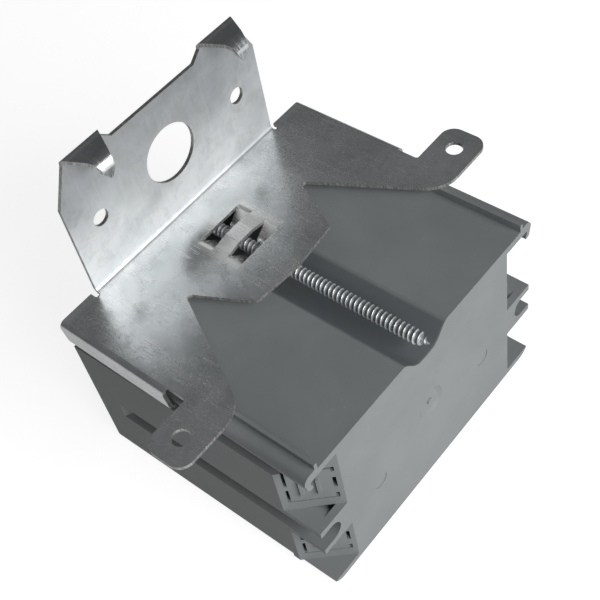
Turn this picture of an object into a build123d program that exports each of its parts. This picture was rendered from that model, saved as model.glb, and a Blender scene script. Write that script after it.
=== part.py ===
import os
from math import hypot

from build123d import *

os.makedirs("parts", exist_ok=True)

# An adjustable switch box, in millimetres: a moulded box open at the front, a folded sheet-steel
# bracket that slides on two rails of the box, and the long screw that drives the bracket.
# X runs along the height of the fitted box, Y along its depth from the open rim to the closed
# back, and Z from the side wall it rests on to the panel that carries the bracket.

# Box moulding
rim_half = 48.7          # middle to the outer face of an end wall, at the open rim
back_half = 47.6         # the same at the closed back, because the end walls have mould draft
box_depth = 83.0         # open rim to closed back
box_width = 57.9         # resting face to the outer face of the panel
end_wall = 2.2
back_wall = 2.2
side_wall = 2.1          # the wall that the box rests on
panel = 2.4              # the wall that carries the bracket
corner_radius = 4.5      # long edges of the resting side
inner_radius = 2.6       # the same edges inside

# Screw channels, one along the middle of each end wall
channel_height = 25.65   # axis of the channel above the resting face
channel_gap = 6.7
channel_floor = 40.4     # middle of the box to the round inner end of the channel
channel_wall = 2.2       # the wall around the channel, which ends in two fins at the back
channel_start = 9.5      # solid screw boss between the rim and the channel
channel_ramp = 5.0       # sloped start of the channel
device_spacing = 83.34   # fixing screws of a switch, 3 9/32 in apart
device_pilot = 1.45      # radius of the holes for them
pilot_chamfer = 0.5

# Cable-entry pockets, two at each back corner, with a slanted wall and a break-in flap
pocket_length = 12.0
pocket_inner = 36.55     # middle of the box to the pocket, at the back
flap_rise = 4.0          # from the floor of a pocket to the hinge line of its flap
upper_flap = 14.4        # height of the flap in the pocket next to the panel
lower_flap = 13.4
flap_start = 1.75        # from the end wall to the flap, along the slanted wall
flap_width = 13.3
outer_slot = 0.9
inner_slot = 1.0
top_slot = 0.8
outer_tie = (5.6, 7.5)   # thin ties hold the flap until it is broken in: start and end
inner_ties = ((1.9, 4.8), (9.5, 12.3))
slot_reach = 1.8         # the slots pass through the slanted wall
hinge_depth = 0.6
hinge_width = 0.5
rib_start = 5.5          # from the end wall to the first of two ribs, along the slanted wall
rib_spacing = 4.4
rib_rise = 2.9           # above the hinge line
rib_length = 7.1
rib_width = 0.9
rib_height = 0.8

# Rails of the panel, and the recess below them
rail_inner = 43.0        # middle of the box to the step of the rail
nib_width = 1.0          # narrow ridge that carries the bracket
nib_height = 2.5         # above the panel
rail_height = 0.65       # above the panel
rail_outer = 48.1
rail_round = 2.4         # radius of the bead
rail_drop = 5.3          # from the face of the panel down to the end of the lip
lip_lean = 0.9           # the lip leans in towards its end
lip_thickness = 1.1
foot_thickness = 1.5
foot_height = 1.5
foot_round = 1.1         # lower outer corner of the lip
recess_half = 45.2       # middle of the box to the recessed wall below the rail
ledge_height = 49.4      # top of the full-width part of the end wall

# Groove of the panel, in which the adjusting screw lies
groove_half = 8.9
groove_bevel_half = 7.5
groove_bevel_depth = 1.1
groove_side_half = 5.1
groove_side_depth = 3.9
groove_round_half = 3.2
groove_round_depth = 5.2
groove_depth = 5.45
groove_wall = 2.0
lug_depth = 2.4          # wall that closes the groove at the rim and holds the neck of the screw
lug_half = 4.6
lug_clearance = 0.4      # below the plate of the bracket
neck_clearance = 0.3

# Marks of the mould on the closed back
gate_radius = 5.0
gate_height = 31.1
gate_depth = 0.8
gate_flare = 62          # degrees between the side of the gate mark and the depth
stub_radius = 0.9
stub_height = 0.5        # above the floor of the gate mark
ejector_radius = 2.6
ejector_spacing = 47.4
ejector_height = 23.4
ejector_depth = 0.2

# Bracket, one folded sheet, with the heights of its flange measured up from the panel
sheet = 1.1
slide_gap = 0.4          # between the ridges of the rails and the plate
bend_inside = 1.1        # inner radius of the bends
flange_setback = 0.65    # rim to the front face of the flange, as the box stands
plate_setback = 1.1      # rim to the front edge of the plate beside the flange
flange_half = 36.5
flange_corner_rise = 34.9
flange_top_rise = 43.45  # top edge between the prongs
flange_step_half = 15.2
relief_radius = 0.8      # slits that end the bend of the flange
hole_radius = 2.5        # nail and screw holes of flange and ears
flange_hole_spacing = 53.4
flange_hole_rise = 24.0
centre_hole_radius = 8.7
centre_hole_rise = 24.6

# Prongs, folded back from the flange and rolled down to a point that grips a timber stud
prong_centre = 24.7
prong_rise = 48.3        # panel to the top of a prong
prong_root = 12.8        # width at the fold
prong_nose = 3.9         # width at the far face of the roll
prong_reach = 11.4       # rim to that face
prong_roll = 3.0         # radius of the roll at mid thickness
point_rise = 42.3        # panel to the end of the point
point_flat = 0.8

# Hems, folded round the rails so that their lips lie below the beads
hem_outer = 50.3         # middle to the outer face near the top
hem_lean = 0.7           # the hem leans in towards its lower bend
hem_drop = 5.3           # panel to the lowest face
hem_lip = 47.85          # middle to the edge of the turned-in lip
hem_rear = 39.4          # rim to the rear end
hem_round = 1.45         # radius of the upper bend at mid thickness
lip_round = 1.2          # the same for the lower bend

# Plate outline, measured from the middle and from the rim
ear_half = 63.95
ear_front = 46.0
ear_rear = 59.4
ear_corner = 4.2
ear_blend = 10.0         # large radius between the ear and the notch
ear_hole_inset = 7.15    # end of an ear to the middle of its hole
ear_hole_depth = 52.6
notch_half = 24.0        # sharp inner corner of the notch beside the tongue
notch_depth = 23.0
notch_outer_half = 42.6  # where the side of the notch would meet the rear edge
notch_corner = 1.1
tongue_half = 15.3       # tongue between the notches, with a blunt arrow end
tongue_side = 40.9
tongue_end = 42.3
small_corner = 0.8

# Three straps lanced from the plate: the outer two pass under the screw, the middle one over it
strap_front = 13.8       # rim to the first strap
strap_width = 5.13
strap_half = 9.6
strap_knee = 8.2
strap_gap = 0.3          # between the screw and the straps below it
cradle_half = 1.6
cradle_bend = 2.8        # radius of the bends of the outer straps at mid thickness
raised_height = 0.9
raised_half = 2.7
raised_foot = 7.2
bridge_bend = 1.7        # radius of the bends of the middle strap at mid thickness

# Adjusting screw
thread_radius = 2.08
screw_gap = 0.3          # between the screw and the plate above it
screw_length = 84.2      # rim to the point
neck_radius = 1.45
neck_end = 2.6           # rim to the start of the thread
head_radius = 3.7
head_height = 2.15
head_gap = 0.05          # between the head and the rim of the box
head_round = 1.2
tip_length = 5.0
tip_radius = 0.3
drive_width = 1.1
drive_length = 4.4
drive_depth = 1.3

same_place = 0.05        # places nearer than this count as one when edges are chosen

# Places worked out from the sizes above. The origin lies in the resting face, in the middle of
# the length and of the depth that the closed part takes.
rim_y = (head_gap + head_height - screw_length) / 2
back_y = rim_y + box_depth
pocket_y = back_y - pocket_length
pocket_outer = back_half + (rim_half - back_half) * pocket_length / box_depth
panel_under = box_width - panel
nib_top = box_width + nib_height
rail_top = box_width + rail_height
rail_end = box_width - rail_drop
lip_x = rail_outer - lip_lean
fin_low = channel_height - channel_gap / 2 - channel_wall
fin_high = channel_height + channel_gap / 2 + channel_wall
plate_under = nib_top + slide_gap
plate_mid = plate_under + sheet / 2
screw_z = plate_under - screw_gap - thread_radius
flange_y = rim_y + flange_setback + sheet / 2
bend_mid = bend_inside + sheet / 2
hem_x = hem_outer - sheet / 2
hem_start = hem_x - hem_round
hem_bottom = box_width - hem_drop
flange_corner = box_width + flange_corner_rise
flange_top = box_width + flange_top_rise
flange_holes = box_width + flange_hole_rise
centre_hole = box_width + centre_hole_rise
prong_top = box_width + prong_rise
prong_tip = box_width + point_rise
fold_start = prong_top - sheet / 2 - bend_mid
roll_end = prong_top - sheet / 2 - prong_roll
roll_start = prong_reach - sheet / 2 - prong_roll
outside = rim_half + end_wall
screw_axis = Axis((0, rim_y, screw_z), (0, 1, 0))

# Half sections of the straps at mid thickness, from the end of the opening to the middle
cradle_z = screw_z - thread_radius - strap_gap - sheet / 2
cradle = ((strap_half + sheet, plate_mid), (strap_knee, plate_mid), (cradle_half, cradle_z))
bridge = ((strap_half + sheet, plate_mid), (raised_foot, plate_mid), (raised_half, plate_mid + raised_height))
straps = ((cradle, cradle_bend), (bridge, bridge_bend), (cradle, cradle_bend))


def across(depth):
    """Plane of a cross section at that depth behind the rim: local x is X, local y is Z."""
    return Plane(origin=(0, rim_y + depth, 0), x_dir=(1, 0, 0), z_dir=(0, -1, 0))


def along(place):
    """Plane of a lengthwise section at that place: local x is Y, local y is Z."""
    return Plane(origin=(place, 0, 0), x_dir=(0, 1, 0), z_dir=(1, 0, 0))


def slanted(height):
    """Face of the slanted pocket wall: local x runs from the end wall to the back, local y is Z."""
    inward = (pocket_inner - pocket_outer, pocket_length, 0)
    outward = (pocket_length, pocket_outer - pocket_inner, 0)
    return Plane(origin=(pocket_outer, pocket_y, height), x_dir=inward, z_dir=outward)


def nearest(sketch, places):
    """The corners of a sketch that lie nearest to the given places."""
    return [min(sketch.vertices(), key=lambda v: hypot(v.X - x, v.Y - y)) for x, y in places]


def both(*places):
    """Each place and its mirror image on the other side of the middle."""
    return [(side * x, y) for x, y in places for side in (1, -1)]


# The space of a screw channel: round inner end, sloped start
with BuildPart() as channel_space:
    with BuildSketch(across(channel_start)):
        with Locations((channel_floor + channel_gap / 2, channel_height)):
            Circle(channel_gap / 2)
            Rectangle(outside, channel_gap, align=(Align.MIN, Align.CENTER))
    extrude(amount=-box_depth)
    ramp = Plane(origin=(rim_half, rim_y + channel_start, 0), x_dir=(0, 0, 1),
                 z_dir=(channel_ramp, rim_half - channel_floor, 0))
    split(bisect_by=ramp, keep=Keep.TOP)
    mirror(about=Plane.YZ)

# The slots that free a flap in the slanted wall of each pocket, with its hinge line below
with BuildPart() as flap_slots:
    for pocket_floor, flap_height in ((side_wall, lower_flap), (fin_high, upper_flap)):
        with BuildSketch(slanted(pocket_floor + flap_rise)):
            with Locations((flap_start, 0)):
                Rectangle(outer_slot, flap_height, align=(Align.MIN, Align.MIN))
            with Locations((flap_start, outer_tie[0])):
                Rectangle(outer_slot, outer_tie[1] - outer_tie[0], align=(Align.MIN, Align.MIN),
                          mode=Mode.SUBTRACT)
            with Locations((flap_start + flap_width, 0)):
                Rectangle(inner_slot, flap_height, align=(Align.MAX, Align.MIN))
            for tie_start, tie_end in inner_ties:
                with Locations((flap_start + flap_width, tie_start)):
                    Rectangle(inner_slot, tie_end - tie_start, align=(Align.MAX, Align.MIN),
                              mode=Mode.SUBTRACT)
            with Locations((flap_start, flap_height - top_slot)):
                Rectangle(flap_width, top_slot, align=(Align.MIN, Align.MIN))
        extrude(amount=slot_reach, both=True)
        with BuildSketch(slanted(pocket_floor + flap_rise)):
            with Locations((flap_start, 0)):
                Rectangle(flap_width, hinge_width, align=(Align.MIN, Align.MAX))
        extrude(amount=-hinge_depth)
    mirror(about=Plane.YZ)

# Two grip ribs on each flap
with BuildPart() as ribs:
    for pocket_floor in (side_wall, fin_high):
        with BuildSketch(slanted(pocket_floor + flap_rise + rib_rise)):
            with Locations((rib_start, 0), (rib_start + rib_spacing, 0)):
                Rectangle(rib_width, rib_length, align=(Align.MIN, Align.MIN))
        extrude(amount=rib_height)
    mirror(about=Plane.YZ)

# Box moulding: a block with drafted end walls, rounded along the resting side and hollowed
with BuildPart() as box_body:
    with BuildSketch():
        with BuildLine():
            Polyline((0, rim_y), (rim_half, rim_y), (back_half, back_y), (0, back_y))
            mirror(about=Plane.YZ)
        make_face()
    extrude(amount=box_width)
    resting_edges = box_body.edges().group_by(Axis.Z)[0]
    fillet(resting_edges.filter_by(lambda e: abs(e.center().X) > channel_floor), corner_radius)
    for top, front_half, rear_half in ((ledge_height - end_wall, rim_half, back_half),
                                       (panel_under, recess_half, recess_half)):
        with BuildSketch(Plane.XY.offset(side_wall)):
            with BuildLine():
                Polyline((0, rim_y), (front_half - end_wall, rim_y), (rear_half - end_wall, back_y - back_wall),
                         (0, back_y - back_wall))
                mirror(about=Plane.YZ)
            make_face()
        extrude(amount=top - side_wall, mode=Mode.SUBTRACT)
    floor_edges = box_body.edges().filter_by(lambda e: abs(e.center().Z - side_wall) < same_place)
    fillet(floor_edges.filter_by(lambda e: abs(e.center().X) > recess_half), inner_radius)

    # Walls round the screw channels, solid bosses at the rim
    with BuildSketch(across(0)):
        with Locations((channel_floor + channel_gap / 2, channel_height)):
            Circle(channel_gap / 2 + channel_wall)
            Rectangle(outside, fin_high - fin_low, align=(Align.MIN, Align.CENTER))
        with Locations((back_half - end_wall / 2, channel_height)):
            Rectangle(2 * outside, box_width, align=(Align.MIN, Align.CENTER), mode=Mode.SUBTRACT)
        mirror(about=Plane.YZ)
    extrude(amount=-box_depth)

    # Slanted walls of the cable-entry pockets
    for low, high in ((side_wall, fin_low), (fin_high, panel_under)):
        with BuildSketch(Plane.XY.offset(low)):
            with BuildLine():
                Polyline((pocket_outer, pocket_y - back_wall), (pocket_inner, back_y - back_wall),
                         (pocket_inner, back_y), (back_half, back_y), close=True)
            make_face()
            mirror(about=Plane.YZ)
        extrude(amount=high - low)

    # Recess above the ledge, which leaves room for the lip of the hem
    with BuildSketch(across(0)):
        with Locations((recess_half, ledge_height)):
            Rectangle(outside, box_width, align=(Align.MIN, Align.MIN))
        mirror(about=Plane.YZ)
    extrude(amount=-box_depth, mode=Mode.SUBTRACT)

    # Open space of the pockets, with the fins of the screw channel left between them
    for low, high in ((side_wall, fin_low), (fin_high, panel_under)):
        with BuildSketch(Plane.XY.offset(low)):
            with BuildLine():
                Polyline((pocket_outer, pocket_y), (pocket_inner, back_y), (pocket_inner, back_y + back_wall),
                         (outside, back_y + back_wall), (outside, pocket_y), close=True)
            make_face()
            mirror(about=Plane.YZ)
        extrude(amount=high - low, mode=Mode.SUBTRACT)
    add(flap_slots.part, mode=Mode.SUBTRACT)
    add(channel_space.part, mode=Mode.SUBTRACT)
    add(ribs.part)

    # Rail along each edge of the panel: a ridge, a rounded bead and a lip with a turned-in foot
    with BuildSketch(across(0)) as rail:
        with BuildLine():
            root = rail_inner - nib_width
            bead = CenterArc((rail_outer - rail_round, rail_top - rail_round), rail_round, 0, 90)
            Polyline(bead @ 1, (rail_inner + nib_width, rail_top), (rail_inner + nib_width, nib_top),
                     (rail_inner, nib_top), (rail_inner, box_width), (root, box_width), (root, panel_under),
                     (lip_x - lip_thickness, panel_under), (lip_x - lip_thickness, rail_end + foot_height),
                     (lip_x - foot_thickness, rail_end + foot_height), (lip_x - foot_thickness, rail_end),
                     (lip_x, rail_end), bead @ 0)
        make_face()
        fillet(nearest(rail, [(lip_x, rail_end)]), foot_round)
        mirror(about=Plane.YZ)
    extrude(amount=-box_depth)

    # Groove for the screw, with a wall of its own below the panel
    for grow, mode in ((groove_wall, Mode.ADD), (0, Mode.SUBTRACT)):
        with BuildSketch(across(0)):
            with BuildLine():
                curve = ThreePointArc((-groove_round_half, box_width - groove_round_depth),
                                      (0, box_width - groove_depth),
                                      (groove_round_half, box_width - groove_round_depth))
                Polyline(curve @ 1, (groove_side_half, box_width - groove_side_depth),
                         (groove_bevel_half, box_width - groove_bevel_depth), (groove_half, box_width),
                         (-groove_half, box_width), (-groove_bevel_half, box_width - groove_bevel_depth),
                         (-groove_side_half, box_width - groove_side_depth), curve @ 0)
            make_face()
            if grow:
                offset(amount=grow, kind=Kind.INTERSECTION)
                with Locations((0, panel_under)):
                    Rectangle(rim_half, box_width, align=(Align.CENTER, Align.MIN), mode=Mode.SUBTRACT)
        extrude(amount=-box_depth, mode=mode)

    # Wall that closes the groove at the rim, with an open slot for the neck of the screw
    with BuildSketch(across(0)):
        with Locations((0, panel_under)):
            Rectangle(2 * groove_half, panel, align=(Align.CENTER, Align.MIN))
            Rectangle(2 * lug_half, plate_under - lug_clearance - panel_under, align=(Align.CENTER, Align.MIN))
        with Locations((0, box_width - groove_depth - groove_wall / 2)):
            Rectangle(2 * groove_side_half, groove_depth, align=(Align.CENTER, Align.MIN))
        with Locations((0, screw_z)):
            Circle(neck_radius + neck_clearance, mode=Mode.SUBTRACT)
            Rectangle(2 * (neck_radius + neck_clearance), box_width, align=(Align.CENTER, Align.MIN),
                      mode=Mode.SUBTRACT)
    extrude(amount=-lug_depth)

    # Pilot holes for the screws of the switch
    with BuildSketch(across(0)):
        with Locations(*both((device_spacing / 2, channel_height))):
            Circle(device_pilot)
    extrude(amount=-(channel_start + channel_ramp), mode=Mode.SUBTRACT)
    rim_circles = box_body.edges().filter_by(GeomType.CIRCLE).group_by(Axis.Y)[0]
    chamfer(rim_circles.filter_by(lambda e: abs(e.radius - device_pilot) < same_place), pilot_chamfer)

    # Marks of the mould on the closed back
    with BuildSketch(across(box_depth)):
        with Locations((0, gate_height)):
            Circle(gate_radius)
    extrude(amount=gate_depth, taper=gate_flare, mode=Mode.SUBTRACT)
    with BuildSketch(across(box_depth - gate_depth)):
        with Locations((0, gate_height)):
            Circle(stub_radius)
    extrude(amount=-stub_height)
    with BuildSketch(across(box_depth)):
        with Locations(*both((ejector_spacing / 2, ejector_height))):
            Circle(ejector_radius)
    extrude(amount=ejector_depth, mode=Mode.SUBTRACT)
box_body.part.label = "box_body"
export_step(box_body.part, "parts/box_body.step")

# One prong: the sheet goes up, folds back and rolls down, and tapers to a point
with BuildPart() as prong:
    with BuildSketch(along(0)):
        with BuildLine():
            far_y = rim_y + prong_reach - sheet / 2
            fold = FilletPolyline((flange_y, flange_corner), (flange_y, prong_top - sheet / 2),
                                  (rim_y + roll_start, prong_top - sheet / 2), radius=bend_mid)
            roll = CenterArc((rim_y + roll_start, roll_end), prong_roll, 90, -90)
            Line(roll @ 1, (far_y, prong_tip))
        trace(line_width=sheet)
    extrude(amount=prong_root / 2, both=True)
    with BuildSketch():
        with BuildLine():
            Polyline((0, rim_y), (prong_root / 2, rim_y), (prong_root / 2, flange_y + sheet / 2),
                     (prong_nose / 2, rim_y + prong_reach), (0, rim_y + prong_reach))
            mirror(about=Plane.YZ)
        make_face()
    extrude(amount=prong_top, mode=Mode.INTERSECT)
    with BuildSketch(across(roll_start)):
        with BuildLine():
            Polyline((point_flat / 2, prong_tip), (prong_nose / 2, roll_end), (prong_root / 2, prong_top),
                     (prong_root / 2, prong_tip), close=True)
        make_face()
        mirror(about=Plane.YZ)
    extrude(amount=-prong_reach, mode=Mode.SUBTRACT)

# Flange: bent up from the plate, then cut to its outline and drilled
with BuildPart() as flange:
    with BuildSketch(along(0)):
        with BuildLine():
            FilletPolyline((flange_y + 2 * bend_mid, plate_mid), (flange_y, plate_mid), (flange_y, fold_start),
                           radius=bend_mid)
        trace(line_width=sheet)
    extrude(amount=flange_half, both=True)
    with BuildSketch(across(0)):
        with BuildLine():
            Polyline((0, plate_under), (flange_half, plate_under), (flange_half, flange_corner),
                     (prong_centre + prong_root / 2, fold_start), (prong_centre - prong_root / 2, fold_start),
                     (flange_step_half, flange_top), (0, flange_top))
            mirror(about=Plane.YZ)
        make_face()
        with Locations((0, centre_hole)):
            Circle(centre_hole_radius, mode=Mode.SUBTRACT)
        with Locations(*both((flange_hole_spacing / 2, flange_holes))):
            Circle(hole_radius, mode=Mode.SUBTRACT)
    extrude(amount=-box_depth, mode=Mode.INTERSECT)

# Bracket, one folded sheet: the plate with its ears, notches and tongue
with BuildPart() as bracket:
    with BuildSketch(Plane.XY.offset(plate_under)) as plan:
        with BuildLine():
            Polyline((0, rim_y + plate_setback), (hem_start, rim_y + plate_setback),
                     (hem_start, rim_y + ear_front), (ear_half, rim_y + ear_front),
                     (ear_half, rim_y + ear_rear), (notch_outer_half, rim_y + ear_rear),
                     (notch_half, rim_y + notch_depth), (tongue_half, rim_y + tongue_side),
                     (0, rim_y + tongue_end))
            mirror(about=Plane.YZ)
        make_face()
        fillet(nearest(plan, both((ear_half, rim_y + ear_front), (ear_half, rim_y + ear_rear))), ear_corner)
        fillet(nearest(plan, both((notch_outer_half, rim_y + ear_rear))), ear_blend)
        fillet(nearest(plan, both((notch_half, rim_y + notch_depth))), notch_corner)
        fillet(nearest(plan, both((tongue_half, rim_y + tongue_side), (hem_start, rim_y + ear_front))),
               small_corner)
        with Locations((0, rim_y)):
            Rectangle(2 * (flange_half + 2 * relief_radius), flange_setback + sheet / 2 + bend_mid,
                      align=(Align.CENTER, Align.MIN), mode=Mode.SUBTRACT)
        with Locations(*both((flange_half + relief_radius, flange_y + bend_mid))):
            Circle(relief_radius, mode=Mode.SUBTRACT)
        with Locations((0, rim_y + strap_front)):
            Rectangle(2 * strap_half, len(straps) * strap_width, align=(Align.CENTER, Align.MIN),
                      mode=Mode.SUBTRACT)
        with Locations(*both((ear_half - ear_hole_inset, rim_y + ear_hole_depth))):
            Circle(hole_radius, mode=Mode.SUBTRACT)
    extrude(amount=sheet)

    # Hems: down past the bead of the rail and in below it
    with BuildSketch(across(plate_setback)):
        with BuildLine():
            low_z = hem_bottom + sheet / 2
            top_bend = FilletPolyline((rail_inner, plate_mid), (hem_x, plate_mid),
                                      (hem_x - hem_lean / 2, (plate_mid + low_z) / 2), radius=hem_round)
            FilletPolyline(top_bend @ 1, (hem_x - hem_lean, low_z), (hem_lip, low_z), radius=lip_round)
        trace(line_width=sheet)
        mirror(about=Plane.YZ)
    extrude(amount=plate_setback - hem_rear)
    add(flange.part)
    with Locations(*both((prong_centre, 0))):
        add(prong.part)

    # Straps: the outer two form a cradle below the screw, the middle one a low bridge above it
    for place, (shape, bend) in enumerate(straps):
        with BuildSketch(across(strap_front + place * strap_width)):
            with BuildLine():
                FilletPolyline(*shape, *[(-x, z) for x, z in reversed(shape)], radius=bend)
            trace(line_width=sheet)
        extrude(amount=-strap_width)
bracket.part.label = "bracket"
export_step(bracket.part, "parts/bracket.step")

# Adjusting screw: pan head with a crossed recess, smooth neck, threaded shank and pointed tip
with BuildPart() as adjusting_screw:
    with BuildSketch(Plane(origin=(0, rim_y, screw_z), x_dir=(1, 0, 0), z_dir=(0, 0, 1))) as profile:
        with BuildLine():
            Polyline((0, -head_gap - head_height), (head_radius, -head_gap - head_height),
                     (head_radius, -head_gap), (neck_radius, -head_gap), (neck_radius, neck_end),
                     (thread_radius, neck_end), (thread_radius, screw_length - tip_length),
                     (tip_radius, screw_length), (0, screw_length), close=True)
        make_face()
        fillet(nearest(profile, [(head_radius, -head_gap - head_height)]), head_round)
    revolve(axis=screw_axis)
    with BuildSketch(across(-head_gap - head_height)):
        with Locations((0, screw_z)):
            Rectangle(drive_length, drive_width)
            Rectangle(drive_width, drive_length)
    extrude(amount=-drive_depth, mode=Mode.SUBTRACT)
adjusting_screw.part.label = "adjusting_screw"
export_step(adjusting_screw.part, "parts/adjusting_screw.step")
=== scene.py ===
# %% [markdown]
# # An adjustable switch box, dressed in Blender
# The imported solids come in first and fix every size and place: a moulded box, a folded steel
# bracket and a long screw. Nothing below moves them. The lesson gives them real surfaces, cuts
# the thread that the solids leave out, and lights them in a small studio.

# %% Load the frame and keep its box
import math

import bmesh
import bpy
from mathutils import Matrix, Vector
from mathutils.bvhtree import BVHTree


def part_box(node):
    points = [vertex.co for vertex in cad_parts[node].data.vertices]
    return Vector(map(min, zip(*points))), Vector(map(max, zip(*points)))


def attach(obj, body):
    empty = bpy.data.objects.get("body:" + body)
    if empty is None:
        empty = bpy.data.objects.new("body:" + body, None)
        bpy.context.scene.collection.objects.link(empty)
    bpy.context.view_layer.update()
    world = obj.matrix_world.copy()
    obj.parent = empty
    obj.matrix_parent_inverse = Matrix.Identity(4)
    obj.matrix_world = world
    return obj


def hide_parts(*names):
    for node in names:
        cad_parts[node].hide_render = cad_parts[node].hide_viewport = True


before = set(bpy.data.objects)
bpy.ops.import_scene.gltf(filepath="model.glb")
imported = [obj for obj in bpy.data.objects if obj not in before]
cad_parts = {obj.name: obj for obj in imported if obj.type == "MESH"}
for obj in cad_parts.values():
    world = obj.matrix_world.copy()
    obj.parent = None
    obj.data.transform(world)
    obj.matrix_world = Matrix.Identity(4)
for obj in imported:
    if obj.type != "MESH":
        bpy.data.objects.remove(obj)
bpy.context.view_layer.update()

# %% [markdown]
# ## The places that the pieces share
# The box runs along Y from its open rim to its closed back, and its panel faces up. The rim, the
# back and the axis of the screw are read from the solids, so the pieces below follow them when
# the source changes. Blender works in metres.

# %% Read the main places
box_low, box_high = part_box("box_body")
screw_low, screw_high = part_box("adjusting_screw")
sheet_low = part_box("bracket")[0]
rim, back = box_low[1], box_high[1]
screw_x = (screw_low[0] + screw_high[0]) / 2
screw_z = (screw_low[2] + screw_high[2]) / 2
print(f"rim {rim:.4f}, back {back:.4f}, screw axis at height {screw_z:.5f}")

# %% [markdown]
# ## The camera
# The photograph looks down on the closed back, one end and the bracket, with the camera rolled a
# little. Its angles and lens come from matching known corners of the object. The matrix is built
# from the viewing direction, so no target object is needed.

# %% Place the camera
def camera_matrix(target, azimuth, elevation, distance, roll):
    """Looks at target from the given angles, which are in degrees, with the camera rolled."""
    a, e, r = (math.radians(v) for v in (azimuth, elevation, roll))
    away = Vector((math.sin(a) * math.cos(e), -math.cos(a) * math.cos(e), math.sin(e)))
    right = (-away).cross(Vector((0, 0, 1))).normalized()
    up = right.cross(-away)
    x_axis = math.cos(r) * right + math.sin(r) * up
    y_axis = math.cos(r) * up - math.sin(r) * right
    turn = Matrix((x_axis, y_axis, away)).transposed().to_4x4()
    return Matrix.Translation(Vector(target) + distance * away) @ turn


camera_data = bpy.data.cameras.new("camera")
camera_data.sensor_width = 36.0
camera_data.lens = 66.953
camera_data.clip_start = 0.01
camera_data.dof.use_dof = False
camera = bpy.data.objects.new("camera", camera_data)
camera.matrix_world = camera_matrix((-0.004899, rim + 0.033893, 0.035823), 139.935, 50.775, 0.320075, -13.357)
bpy.context.scene.collection.objects.link(camera)
bpy.context.scene.camera = camera
bpy.context.scene.view_settings.view_transform = "Standard"
print("camera at", [round(v, 4) for v in camera.location])

# %% [markdown]
# ## A short way to write node trees
# A finish is easier to read as sums than as a list of nodes and links. `Wire` holds one output
# socket, and Python's operators on it add Math nodes. `Recipe.node` adds any other node, from its
# type, its settings and the values or wires of its sockets. Both work in shader trees and in
# geometry trees.

# %% Wires and recipes
class Wire:
    """One output socket. An operator on it adds a Math node and gives back that node's output."""

    def __init__(self, recipe, socket):
        self.recipe = recipe
        self.socket = socket

    def _math(self, operation, first, second):
        return self.recipe.node("ShaderNodeMath", {"operation": operation}, {0: first, 1: second})

    def __add__(self, other):
        return self._math("ADD", self, other)

    __radd__ = __add__

    def __sub__(self, other):
        return self._math("SUBTRACT", self, other)

    def __rsub__(self, other):
        return self._math("SUBTRACT", other, self)

    def __mul__(self, other):
        return self._math("MULTIPLY", self, other)

    __rmul__ = __mul__

    def __truediv__(self, other):
        return self._math("DIVIDE", self, other)

    def least(self, other):
        return self._math("MINIMUM", self, other)

    def most(self, other):
        return self._math("MAXIMUM", self, other)


class Recipe:
    """A node tree under construction."""

    def __init__(self, tree):
        self.tree = tree

    def node(self, kind, settings=None, inputs=None, out=0):
        """Adds a node, sets it up, fills its sockets with values or wires and returns one output."""
        made = self.tree.nodes.new(kind)
        for key, value in (settings or {}).items():
            setattr(made, key, value)
        for key, value in (inputs or {}).items():
            if isinstance(value, Wire):
                self.tree.links.new(value.socket, made.inputs[key])
            else:
                made.inputs[key].default_value = value
        return Wire(self, made.outputs[out])

    def fn(self, operation, value, *others):
        """A Math node with one, two or three values."""
        return self.node("ShaderNodeMath", {"operation": operation}, dict(enumerate((value, *others))))

    def ramp(self, value, low, high):
        """0 below low, 1 above high, and a smooth rise between."""
        return self.node("ShaderNodeMapRange", {"interpolation_type": "SMOOTHSTEP"},
                         {0: value, 1: low, 2: high, 3: 0.0, 4: 1.0})


# %% [markdown]
# ## Surfaces that vary from place to place
# Every finish needs the same few things: a place on the object, noise stretched along an axis,
# and a blend of two colours. `Finish` adds them to a material. Object coordinates are metres in
# the part's own frame, so a scale of 400 gives marks of about 2.5 mm.

# %% The finish helper
def colour(r, g, b):
    """A colour written as screen values from 0 to 255, as the shader's linear values."""
    return tuple(((v / 255 + 0.055) / 1.055) ** 2.4 if v > 10 else v / 255 / 12.92 for v in (r, g, b))


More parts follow.
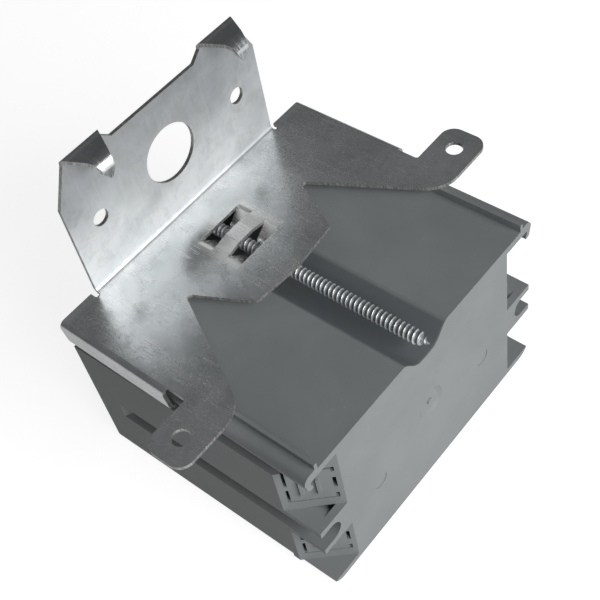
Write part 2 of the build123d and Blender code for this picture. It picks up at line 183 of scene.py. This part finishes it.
class Finish(Recipe):
    """A material with one Principled shader, and the patterns that feed it."""

    def __init__(self, name):
        self.material = bpy.data.materials.new(name)
        self.material.use_nodes = True
        super().__init__(self.material.node_tree)
        self.shader = self.tree.nodes["Principled BSDF"]
        self.place = self.node("ShaderNodeTexCoord", out="Object")

    def stretched(self, scale=(1, 1, 1), turn=(0, 0, 0), shift=(0, 0, 0)):
        """The place, scaled, turned and moved before a pattern reads it."""
        return self.node("ShaderNodeMapping", inputs={"Vector": self.place, "Scale": scale, "Rotation": turn,
                                                      "Location": shift})

    def noise(self, scale, detail=3.0, rough=0.5, warp=0.0, at=None):
        inputs = {"Vector": at or self.place, "Scale": scale, "Detail": detail, "Roughness": rough,
                  "Distortion": warp}
        return self.node("ShaderNodeTexNoise", inputs=inputs)

    def cells(self, scale, at):
        """Flat patches, each with a random colour."""
        return self.node("ShaderNodeTexVoronoi", inputs={"Vector": at, "Scale": scale}, out="Color")

    def mix(self, first, second, share):
        """Blends two colours by a share from 0 to 1."""
        first, second = (v if isinstance(v, Wire) else (*v, 1.0) for v in (first, second))
        return self.node("ShaderNodeMix", {"data_type": "RGBA", "clamp_factor": True},
                         {0: share, 6: first, 7: second}, 2)

    def grey(self, wire):
        return self.node("ShaderNodeRGBToBW", inputs={0: wire})

    def axes(self):
        """The place as three separate wires."""
        split = self.node("ShaderNodeSeparateXYZ", inputs={0: self.place})
        return [Wire(self, split.socket.node.outputs[i]) for i in range(3)]

    def within(self, wire, low, high, blur):
        """1 between low and high, fading to 0 over blur on either side."""
        return self.ramp(wire, low - blur, low) * (1 - self.ramp(wire, high, high + blur))

    def finish(self, base, rough, bump=None, height=0.0, fine=None, fine_height=0.0, **constants):
        """Links what varies to the shader and sets what is the same all over on its sockets."""
        self.tree.links.new(base.socket, self.shader.inputs["Base Color"])
        self.tree.links.new(rough.socket, self.shader.inputs["Roughness"])
        normal = None
        for pattern, rise in ((bump, height), (fine, fine_height)):
            if pattern is not None:
                inputs = {"Strength": 1.0, "Distance": rise, "Height": pattern}
                if normal is not None:
                    inputs["Normal"] = normal
                normal = self.node("ShaderNodeBump", inputs=inputs)
        if normal is not None:
            self.tree.links.new(normal.socket, self.shader.inputs["Normal"])
        for key, value in constants.items():
            self.shader.inputs[key.replace("_", " ")].default_value = value
        print("finish", self.material.name, "has", len(self.tree.nodes), "nodes")
        return self.material


# %% [markdown]
# ## Moulded plastic of the box
# The real box is grey rigid plastic from a steel mould. It has a satin skin with a very fine
# grain, faint clouds where the melt flowed, and pale scuffs from rubbing against other boxes in
# the carton. The clouds and the grain are noise at two sizes. The scuffs are noise stretched into
# thin lines and cut off by a high threshold, so only a few show. The groove under the screw lies in
# more shade than one lamp gives, so its colour is painted darker there as painted shade.

# %% Plastic finish
def moulded_plastic():
    f = Finish("moulded_plastic")
    x, y, z = f.axes()
    # Painted shade: the groove under the screw is painted darker.
    groove_shade = f.within(x - screw_x, -0.0078, 0.0078, 0.001) * f.within(box_high[2] - z, 0.0032, 0.0085, 0.0006)
    groove_shade = groove_shade * (1 - f.ramp(y, back - 0.0006, back - 0.0002))
    cloud = f.noise(38.0, 4.0, 0.55, 0.4)
    grain = f.noise(2600.0, 2.0, 0.6)
    speck = f.noise(520.0, 3.0, 0.7)
    line_a = f.noise(1.0, 3.0, 0.6, 0.2, f.stretched((420, 26, 420), (0, 0, 0.5)))
    line_b = f.noise(1.0, 2.0, 0.6, 0.3, f.stretched((30, 520, 520), (0, 0, -0.35)))
    patch = f.ramp(f.noise(55.0, 2.0), 0.54, 0.66)
    scuff = (f.ramp(line_a, 0.66, 0.74) + f.ramp(line_b, 0.68, 0.76)) * patch
    dust = f.ramp(f.noise(900.0, 1.0, 0.4), 0.69, 0.75) * f.ramp(f.noise(70.0, 1.0), 0.5, 0.62)
    tone = f.mix(colour(136, 140, 141), colour(145, 148, 148), f.ramp(cloud, 0.32, 0.7))
    tone = f.mix(tone, colour(130, 134, 137), f.ramp(speck, 0.55, 0.8) * 0.3)
    tone = f.mix(tone, colour(176, 178, 178), scuff * 0.16)
    tone = f.mix(tone, colour(182, 184, 182), dust * 0.12)
    # Painted shade in the groove under the screw.
    tone = f.mix(tone, colour(112, 116, 119), groove_shade * 0.9)
    rough = 0.46 + (cloud - 0.5) * 0.12 + (grain - 0.5) * 0.16 + scuff * 0.1
    return f.finish(tone, rough, speck, 0.000012, grain, 0.000006, Specular_IOR_Level=0.36)


plastic = moulded_plastic()

# %% [markdown]
# ## Galvanised sheet
# The bracket is stamped from steel with a bright zinc skin. Its flat faces mirror what stands
# over them, blurred by fine crystals, soft clouds and short brush marks that run along the sheet.
# The upright flange is frosted: it scatters the lamp instead of mirroring the plate. Its colour is
# painted darker as painted shade, the more towards its top and one side. The formed straps get a
# painted highlight: their colour is painted brighter than the plate. The place on the sheet tells
# them apart. Heights are counted from the lips of the hems, depths from the rim.

# %% Zinc finish
fold_height = (0.0088, 0.0102)
flange_depth = (0.0022, 0.0044)
prong_height = (0.044, 0.047)
# Heights and sides over which the painted shade on the flange grows.
shade_height = (0.016, 0.044)
shade_side = (0.005, 0.045)
strap_half = 0.0096
strap_span = (0.0138, 0.0292)


def zinc_sheet():
    f = Finish("zinc_sheet")
    x, y, z = f.axes()
    cloud = f.noise(62.0, 5.0, 0.62, 0.7)
    mottle = f.noise(240.0, 5.0, 0.7, 0.3)
    crystal = f.grey(f.cells(420.0, f.stretched((1.0, 0.7, 0.8), (0.3, 0.2, 0.4))))
    brush_a = f.noise(1.0, 2.0, 0.55, 0.0, f.stretched((1500, 110, 110), (0.1, 0.2, 0.22)))
    brush_b = f.noise(1.0, 2.0, 0.55, 0.0, f.stretched((1300, 90, 90), (-0.1, -0.35, -0.3)))
    brush = brush_a.most(brush_b)
    stain = f.ramp(f.noise(85.0, 5.0, 0.68, 0.9), 0.52, 0.74)
    over = z - sheet_low[2]
    flange = f.ramp(over, *fold_height) * (1 - f.ramp(y - rim, *flange_depth))
    prong = f.ramp(over, *prong_height)
    # Painted highlight: the formed straps are painted brighter and less metallic.
    strap_highlight = f.within(x - screw_x, -strap_half, strap_half, 0.0012) * f.within(y - rim, *strap_span, 0.0008)
    # Painted shade on the upright flange: darker towards its top and one side.
    flange_shade = 0.14 + f.ramp(over, *shade_height) * 0.36 + f.ramp(screw_x - x, *shade_side) * 0.12
    tone = f.mix(colour(222, 226, 227), colour(244, 246, 247), f.ramp(cloud, 0.3, 0.68))
    tone = f.mix(tone, colour(186, 191, 192), f.ramp(mottle, 0.48, 0.72) * 0.35)
    tone = f.mix(tone, colour(158, 162, 162), stain * 0.32)
    tone = f.mix(tone, colour(250, 251, 251), f.ramp(brush, 0.58, 0.72) * 0.45)
    tone = f.mix(tone, colour(100, 106, 111), flange * flange_shade)
    # Painted highlight on the formed straps.
    tone = f.mix(tone, colour(248, 247, 243), strap_highlight * 0.6)
    rough = 0.23 + (cloud - 0.5) * 0.2 + (crystal - 0.5) * 0.05 + (mottle - 0.5) * 0.12 + stain * 0.1
    rough = (rough + flange * 0.2 + f.ramp(brush, 0.56, 0.7) * 0.06).most(0.17)
    metal = 0.82 + prong * 0.13 - flange * 0.29 - strap_highlight * 0.12
    f.tree.links.new(metal.socket, f.shader.inputs["Metallic"])
    return f.finish(tone, rough, mottle, 0.0000012, brush, 0.000001)


zinc = zinc_sheet()

# %% [markdown]
# ## Sheared edges of the sheet
# The press shears the sheet through about a third of its thickness, which leaves a bright,
# burnished band, and then it tears, which leaves a duller one. Fine lines run through the
# thickness, so the noise is stretched along Z and along Y.

# %% Sheared edge finish
def sheared_edge():
    f = Finish("sheared_edge")
    tear = f.noise(1.0, 3.0, 0.6, 0.1, f.stretched((2400, 2400, 500)))
    blot = f.noise(260.0, 3.0, 0.6)
    tone = f.mix(colour(150, 150, 147), colour(206, 207, 205), f.ramp(tear, 0.36, 0.68))
    tone = f.mix(tone, colour(128, 122, 114), f.ramp(blot, 0.58, 0.76) * 0.35)
    rough = 0.36 + (tear - 0.5) * 0.4
    return f.finish(tone, rough, tear, 0.00002, Metallic=0.72)


edge_metal = sheared_edge()

# %% [markdown]
# ## Plated screw
# The screw is rolled from wire and plated with bright zinc, so its crests shine. Between them the
# colour is painted darker, as painted shade with some dirt. The distance from the axis tells crest
# from root, and it darkens and dulls the finish towards the root.

# %% Screw finish
def plated_screw():
    f = Finish("plated_screw")
    x, _, z = f.axes()
    out = f.fn("SQRT", (x - screw_x) * (x - screw_x) + (z - screw_z) * (z - screw_z))
    crest = f.ramp(out, 0.0015, 0.0019)
    patch = f.noise(320.0, 3.0, 0.6, 0.4)
    fine = f.noise(1800.0, 3.0, 0.6)
    # Painted shade with some dirt: the root between the crests is darker than the crests.
    tone = f.mix(colour(176, 180, 182), colour(240, 243, 245), crest)
    tone = f.mix(tone, colour(196, 200, 206), f.ramp(patch, 0.45, 0.7) * 0.5)
    rough = 0.3 + (1 - crest) * 0.16 + (fine - 0.5) * 0.14
    return f.finish(tone, rough, fine, 0.000008, Metallic=0.66)


screw_metal = plated_screw()

# %% [markdown]
# ## From a solid to a piece with real edges
# No moulded or stamped edge is a perfect corner: a narrow round catches the light along it. The
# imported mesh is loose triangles, so a copy is merged, its flat faces are joined, and a narrow
# bevel is laid on its sharp edges. Weighted normals keep the flats flat beside the bevel. The
# solid stays in the model for contact and is only hidden.

# %% Bevelled copies
def merged_copy(node):
    """The node's loose triangles as one closed mesh."""
    work = bmesh.new()
    work.from_mesh(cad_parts[node].data)
    bmesh.ops.remove_doubles(work, verts=work.verts, dist=2e-6)
    return work


def join_flats(work):
    """Joins the triangles of each flat face, without crossing from one finish to another."""
    bmesh.ops.dissolve_limit(work, angle_limit=math.radians(0.4), verts=work.verts, edges=work.edges,
                             use_dissolve_boundaries=False, delimit={"MATERIAL"})
    return work


def add_piece(name, work, materials):
    """A mesh object from a bmesh, at the origin, with its materials."""
    data = bpy.data.meshes.new(name)
    work.to_mesh(data)
    work.free()
    piece = bpy.data.objects.new(name, data)
    bpy.context.scene.collection.objects.link(piece)
    for material in materials:
        data.materials.append(material)
    return piece


def applied(piece):
    """Turns a piece's modifiers into plain mesh."""
    shown = piece.evaluated_get(bpy.context.evaluated_depsgraph_get())
    data = bpy.data.meshes.new_from_object(shown)
    piece.modifiers.clear()
    piece.data = data
    data.name = piece.name
    print(piece.name, "has", len(data.polygons), "faces")
    return piece


def soften(piece, width, segments=2):
    """Rounds the sharp edges by a narrow bevel and keeps the flats flat."""
    for polygon in piece.data.polygons:
        polygon.use_smooth = True
    bevel = piece.modifiers.new("edge round", "BEVEL")
    bevel.width = width
    bevel.segments = segments
    bevel.limit_method = "ANGLE"
    bevel.angle_limit = math.radians(28)
    bevel.miter_outer = "MITER_ARC"
    bevel.harden_normals = False
    weighted = piece.modifiers.new("flat faces", "WEIGHTED_NORMAL")
    weighted.keep_sharp = False
    weighted.weight = 80
    return applied(piece)


# %% [markdown]
# ## The moulded box
# One moulding, one piece and one finish. The bevel is a quarter of a millimetre, about what a
# polished mould leaves, and it draws the pale line along the back edge of the panel.

# %% Box piece
box_shell = add_piece("box_shell", join_flats(merged_copy("box_body")), [plastic])
soften(box_shell, 0.00022)
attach(box_shell, "box")
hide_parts("box_body")

# %% [markdown]
# ## The folded bracket
# Face and edge of a sheet look different, so they get different finishes. A ray sent inwards
# from each face tells them apart: through a face it meets the far side after one sheet thickness,
# and from a cut edge it runs on much further along the sheet.

# %% Bracket piece
def mark_cut_edges(work, thickness):
    """Gives the second material to the faces that lie across the sheet."""
    tree = BVHTree.FromBMesh(work)
    cut = 0
    for face in work.faces:
        start = face.calc_center_median() - face.normal * 1e-6
        hit = tree.ray_cast(start, -face.normal)
        if hit[3] is None or hit[3] > thickness * 1.5:
            face.material_index = 1
            cut += 1
    print("cut edge faces:", cut, "of", len(work.faces))
    return work


sheet_thickness = 0.0011
sheet = mark_cut_edges(merged_copy("bracket"), sheet_thickness)
bracket_sheet = add_piece("bracket_sheet", join_flats(sheet), [zinc, edge_metal])
soften(bracket_sheet, 0.00013)
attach(bracket_sheet, "bracket")
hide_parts("bracket")

# %% [markdown]
# ## The thread of the adjusting screw
# A thread is one rule followed along the shank: the radius rises and falls once per pitch, and
# the whole pattern turns once in that length. Geometry Nodes take a flat grid, wrap it round the
# axis and set each point's radius by that rule. Between the sharp ridges lies a straight root, and
# near the end the root narrows to a point while the ridge runs on and fades.

# %% The thread tree
def thread_tree():
    tree = bpy.data.node_groups.new("threaded_shank", "GeometryNodeTree")
    tree.interface.new_socket("Geometry", in_out="OUTPUT", socket_type="NodeSocketGeometry")
    sizes = {}
    kinds = {"Float": ("Start", "Length", "Pitch", "Crest radius", "Root radius", "Ridge share", "Tip length",
                       "Tip slope", "Tip radius", "Axis X", "Axis Z"),
             "Int": ("Around", "Rings"), "Material": ("Finish",)}
    for kind, names in kinds.items():
        for name in names:
            made = tree.interface.new_socket(name, in_out="INPUT", socket_type="NodeSocket" + kind)
            sizes[name] = made.identifier
    g = Recipe(tree)
    given = tree.nodes.new("NodeGroupInput")
    size = {name: Wire(g, given.outputs[name]) for name in sizes}
    grid = g.node("GeometryNodeMeshGrid", inputs={"Size X": 1.0, "Size Y": 1.0, "Vertices X": size["Around"],
                                                  "Vertices Y": size["Rings"]})
    flat = g.node("ShaderNodeSeparateXYZ", inputs={0: g.node("GeometryNodeInputPosition")})
    turn = Wire(g, flat.socket.node.outputs[0]) + 0.5
    share = Wire(g, flat.socket.node.outputs[1]) + 0.5
    along = share * size["Length"]
    left = (1 - share) * size["Length"]
    wave = g.fn("ABSOLUTE", g.fn("FRACT", along / size["Pitch"] - turn + 1.0) * 2.0 - 1.0)
    rise = (wave - (1.0 - size["Ridge share"])) / size["Ridge share"] * 1.15
    ridge = g.fn("MINIMUM", g.fn("MAXIMUM", rise, 0.0), 1.0)
    fade = g.ramp(along / size["Pitch"], 0.0, 1.3) * g.ramp(left, 0.0002, size["Tip length"])
    core = size["Root radius"].least(size["Tip radius"] + left * size["Tip slope"])
    radius = core + (size["Crest radius"] - size["Root radius"]) * ridge * fade
    closed = g.fn("GREATER_THAN", share, 0.0005) * g.fn("LESS_THAN", share, 0.99995)
    radius = radius * closed
    angle = turn * (2 * math.pi)
    place = g.node("ShaderNodeCombineXYZ", inputs={0: size["Axis X"] + radius * g.fn("SINE", angle),
                                                   1: size["Start"] + along,
                                                   2: size["Axis Z"] + radius * g.fn("COSINE", angle)})
    bent = g.node("GeometryNodeSetPosition", inputs={"Geometry": grid, "Position": place})
    joined = g.node("GeometryNodeMergeByDistance", inputs={"Geometry": bent, "Distance": 1e-6})
    smooth = g.node("GeometryNodeSetShadeSmooth", inputs={"Geometry": joined, "Shade Smooth": True})
    real = g.node("GeometryNodeRealizeInstances", inputs={"Geometry": smooth})
    done = g.node("GeometryNodeSetMaterial", inputs={"Geometry": real, "Material": size["Finish"]})
    leave = tree.nodes.new("NodeGroupOutput")
    tree.links.new(done.socket, leave.inputs[0])
    return tree, sizes


# %% [markdown]
# ## Cutting the thread
# The shank runs from the neck, which turns in a slot at the rim, to the point near the back. Its
# pitch is that of a coarse machine screw, eighteen turns to the inch. The result becomes a plain
# mesh, and its normals are turned outwards, because the wrapped grid may face in.

# %% Screw shank piece
neck_end = rim + 0.0024
inputs = {"Start": neck_end, "Length": screw_high[1] - neck_end, "Pitch": 0.0254 / 18,
          "Crest radius": 0.00208, "Root radius": 0.00148, "Ridge share": 0.4, "Tip length": 0.0026,
          "Tip slope": 0.42, "Tip radius": 0.0001, "Axis X": screw_x, "Axis Z": screw_z, "Around": 37,
          "Rings": 1150, "Finish": screw_metal}
tree, sockets = thread_tree()
screw_shank = add_piece("screw_shank", bmesh.new(), [screw_metal])
modifier = screw_shank.modifiers.new("thread", "NODES")
modifier.node_group = tree
for name, value in inputs.items():
    modifier[sockets[name]] = value
applied(screw_shank)
outward = bmesh.new()
outward.from_mesh(screw_shank.data)
bmesh.ops.recalc_face_normals(outward, faces=outward.faces)
outward.to_mesh(screw_shank.data)
outward.free()
print("turns of thread:", round(inputs["Length"] / inputs["Pitch"], 1))

# %% [markdown]
# ## The head of the screw
# The solid already has the right pan head, recess and neck, so the piece is a copy of it, cut off
# where the thread begins and closed with a flat face inside the shank.

# %% Screw head piece
head = join_flats(merged_copy("adjusting_screw"))
cut_at = neck_end + 0.0001
bmesh.ops.bisect_plane(head, geom=head.verts[:] + head.edges[:] + head.faces[:], plane_co=(0, cut_at, 0),
                       plane_no=(0, 1, 0), clear_outer=True)
bmesh.ops.holes_fill(head, edges=[e for e in head.edges if e.is_boundary], sides=0)
screw_head = add_piece("screw_head", head, [screw_metal])
soften(screw_head, 0.00012)
for piece in (screw_shank, screw_head):
    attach(piece, "screw")
    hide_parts("adjusting_screw")

# %% [markdown]
# ## Floor, world and lamps
# The photograph has a white ground and one strong soft light from behind the box's closed back,
# so the back is the brightest plastic face, the panel is darker and the end walls are darkest.
# The floor adds white only for what the camera and shiny metal see, and keeps a soft shadow.

# %% Floor
def pale_floor():
    material = bpy.data.materials.new("pale_floor")
    material.use_nodes = True
    f = Recipe(material.node_tree)
    material.node_tree.nodes.clear()
    seen = [f.node("ShaderNodeLightPath", out=name) for name in ("Is Camera Ray", "Is Glossy Ray",
                                                                 "Is Transmission Ray")]
    shown = (seen[0].most(seen[2]) * 0.86).most(seen[1] * 0.36)
    matt = f.node("ShaderNodeBsdfDiffuse", inputs={"Color": (0.42, 0.42, 0.42, 1.0)})
    glow = f.node("ShaderNodeEmission", inputs={"Color": (1.0, 1.0, 1.0, 1.0), "Strength": shown})
    both = f.node("ShaderNodeAddShader", inputs={0: matt, 1: glow})
    end = material.node_tree.nodes.new("ShaderNodeOutputMaterial")
    material.node_tree.links.new(both.socket, end.inputs["Surface"])
    return material


ground = bmesh.new()
bmesh.ops.create_grid(ground, x_segments=1, y_segments=1, size=3.0)
bmesh.ops.translate(ground, verts=ground.verts, vec=(0, 0, -0.0003))
floor = add_piece("floor", ground, [pale_floor()])

# %% [markdown]
# Each lamp is set by how bright it makes a white surface that faces it, and the power follows
# from the distance. The numbers then read as shares of white, and moving a lamp doesn't change
# them. The sky is white where the camera sees it past the floor, and gives only a faint fill.

# %% World and lamps
def soft_lamp(name, direction, share, size, distance=0.9, tint=(1, 1, 1)):
    """A square lamp that lights a white surface facing it to the given share of white."""
    data = bpy.data.lights.new(name, "AREA")
    data.shape = "SQUARE"
    data.size = size
    data.energy = share * math.pi ** 2 * distance ** 2
    data.color = tint
    lamp = bpy.data.objects.new(name, data)
    towards = Vector(direction).normalized()
    lamp.matrix_world = Matrix.Translation(towards * distance + Vector((0, 0, 0.05))) @ \
        towards.to_track_quat("Z", "Y").to_matrix().to_4x4()
    bpy.context.scene.collection.objects.link(lamp)
    print(f"{name}: {data.energy:.1f} W")


world = bpy.data.worlds.new("studio")
bpy.context.scene.world = world
world.use_nodes = True
world.node_tree.nodes["Background"].inputs["Color"].default_value = (0.95, 0.98, 1.0, 1.0)
sky = Recipe(world.node_tree)
white = sky.node("ShaderNodeLightPath", out="Is Camera Ray") * 0.96
sky.tree.links.new(white.most(0.06).socket, world.node_tree.nodes["Background"].inputs["Strength"])
soft_lamp("key", (0.03, 0.89, 0.42), 1.14, 0.7)
